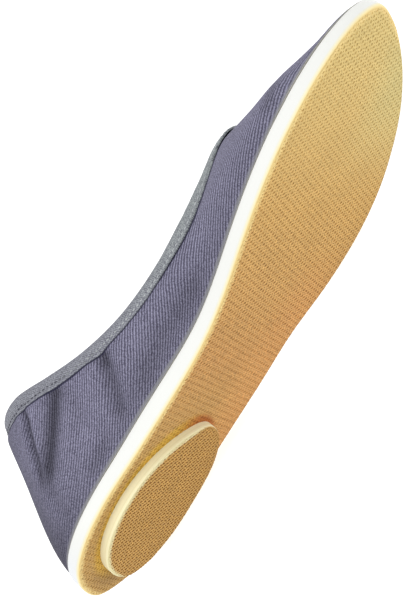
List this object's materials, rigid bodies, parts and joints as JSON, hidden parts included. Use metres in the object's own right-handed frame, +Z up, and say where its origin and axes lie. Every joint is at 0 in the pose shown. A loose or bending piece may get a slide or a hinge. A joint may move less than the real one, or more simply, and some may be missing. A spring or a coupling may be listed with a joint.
{
  "type": "ballet flat",
  "caption": "Left ballet flat lying on its outer side: hollow twill upper with a bound collar on a thin foam and rubber sole, with an oval pad under the heel.",
  "frame": {"origin": "middle of the bounding box, on the floor that the shoe lies on", "axes": "+X from the heel towards the toe, +Y from the sole towards the collar, +Z up from the shoe's outer side to its inner side"},
  "size_m": [0.2474, 0.072, 0.0859],
  "materials": {
    "tan_rubber": "matt, finely textured",
    "pale_foam": "matt, smooth",
    "cream_foam": "matt, smooth",
    "tread_rubber": "matt, knurled",
    "lilac_twill": "matt, bold twill",
    "grey_tape": "matt, fine weave",
    "sock_cloth": "matt, fine weave"
  },
  "bodies": {
    "root": {"outsole": "tan_rubber", "midsole": "pale_foam", "heel_lift": "cream_foam", "heel_tread": "tread_rubber", "upper": "lilac_twill", "collar_binding": "grey_tape", "insole": "sock_cloth"}
  },
  "joints": []
}
